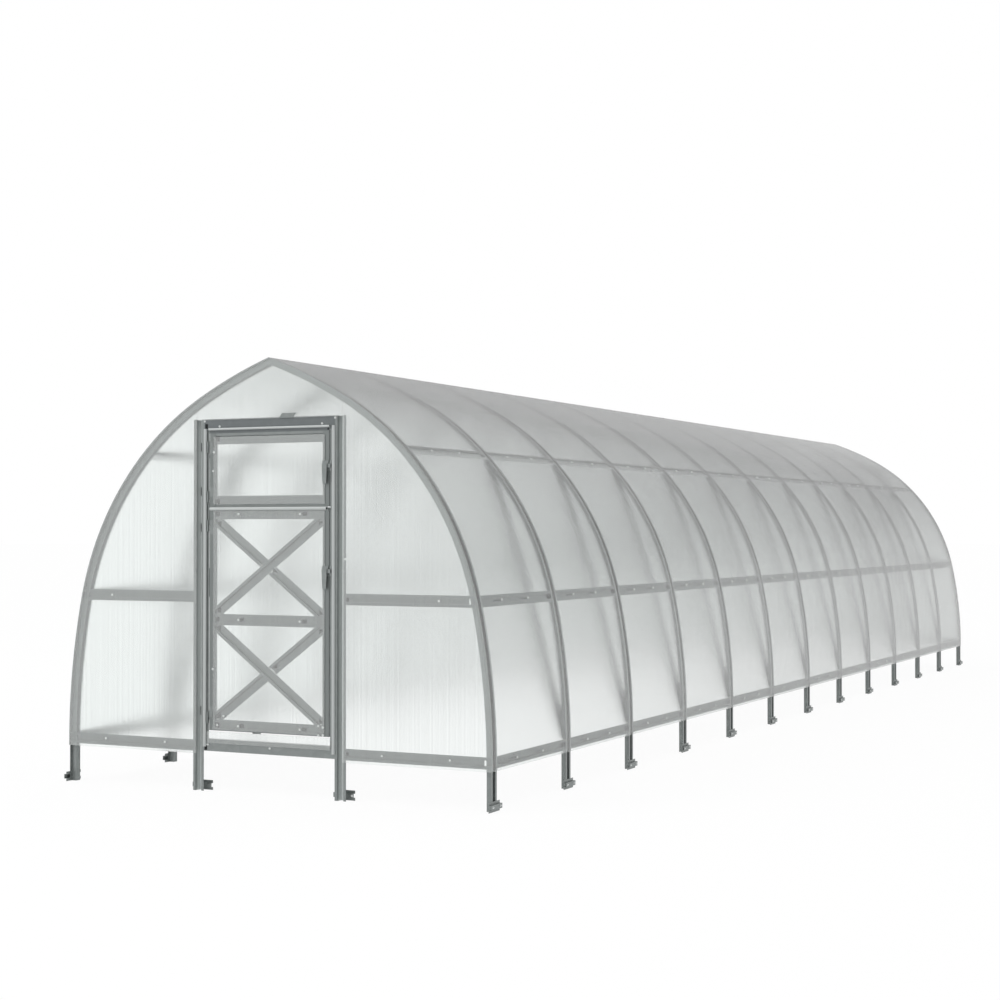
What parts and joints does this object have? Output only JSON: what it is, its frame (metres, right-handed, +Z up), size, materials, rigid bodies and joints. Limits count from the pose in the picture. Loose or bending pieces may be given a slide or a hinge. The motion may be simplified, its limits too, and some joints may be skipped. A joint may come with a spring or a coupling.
{
  "type": "gothic arch greenhouse",
  "caption": "Long greenhouse of pointed pressed-steel arches under clear twin-wall sheet, with gable posts, a braced lower door that swings, and legs for the ground.",
  "frame": {"origin": "centre of the plan at ground level", "axes": "+X across to the right seen from the front, +Y along the ridge towards the rear gable, +Z up; the front door faces -Y"},
  "size_m": [2.938, 12.135, 2.5542],
  "materials": {
    "galvanised_steel": "hot-dip galvanised, matt grey",
    "twin_wall_sheet": "clear twin-wall polycarbonate, frosted by its flutes",
    "draught_strip": "rolled bright strip with a rounded nose"
  },
  "bodies": {
    "greenhouse": {"arch_01": "galvanised_steel", "arch_02": "galvanised_steel", "arch_03": "galvanised_steel", "arch_04": "galvanised_steel", "arch_05": "galvanised_steel", "arch_06": "galvanised_steel", "arch_07": "galvanised_steel", "arch_08": "galvanised_steel", "arch_09": "galvanised_steel", "arch_10": "galvanised_steel", "arch_11": "galvanised_steel", "arch_12": "galvanised_steel", "arch_13": "galvanised_steel", "base_rail_left": "galvanised_steel", "base_rail_right": "galvanised_steel", "chord_struts_left": "galvanised_steel", "chord_struts_right": "galvanised_steel", "cover_sheet_1": "twin_wall_sheet", "cover_sheet_2": "twin_wall_sheet", "cover_sheet_3": "twin_wall_sheet", "cover_sheet_4": "twin_wall_sheet", "cover_sheet_5": "twin_wall_sheet", "cover_sheet_6": "twin_wall_sheet", "door_hinge_brackets": "galvanised_steel", "front_lintel": "galvanised_steel", "front_post_anchors": "galvanised_steel", "front_post_left": "galvanised_steel", "front_post_right": "galvanised_steel", "front_rails_left": "galvanised_steel", "front_rails_right": "galvanised_steel", "front_sheet_left": "twin_wall_sheet", "front_sheet_right": "twin_wall_sheet", "front_sheet_top": "twin_wall_sheet", "front_sill": "galvanised_steel", "front_sill_sheet": "twin_wall_sheet", "front_strips": "draught_strip", "leg_anchors_left": "galvanised_steel", "leg_anchors_right": "galvanised_steel", "mid_purlin_left": "galvanised_steel", "mid_purlin_right": "galvanised_steel", "rear_doorway": "galvanised_steel", "rear_fittings": "galvanised_steel", "rear_leaf_frames": "galvanised_steel", "rear_leaf_panes": "twin_wall_sheet", "rear_rails": "galvanised_steel", "rear_sheet_left": "twin_wall_sheet", "rear_sheet_right": "twin_wall_sheet", "rear_sheet_top": "twin_wall_sheet", "rear_strips": "draught_strip", "ridge_purlin": "galvanised_steel", "upper_purlin_left": "galvanised_steel", "upper_purlin_right": "galvanised_steel", "vent_fittings": "galvanised_steel", "vent_frame": "galvanised_steel", "vent_pane": "twin_wall_sheet"},
    "door": {"door_frame": "galvanised_steel", "door_braces": "galvanised_steel", "door_pane": "twin_wall_sheet", "door_top_strip": "draught_strip", "door_fittings": "galvanised_steel"}
  },
  "joints": [
    {"name": "door_hinge", "type": "hinge", "parent": "greenhouse", "child": "door", "pos_m": [-0.4235, -6.041, 0], "axis": [0, 0, -1], "range_deg": [0, 120]}
  ]
}
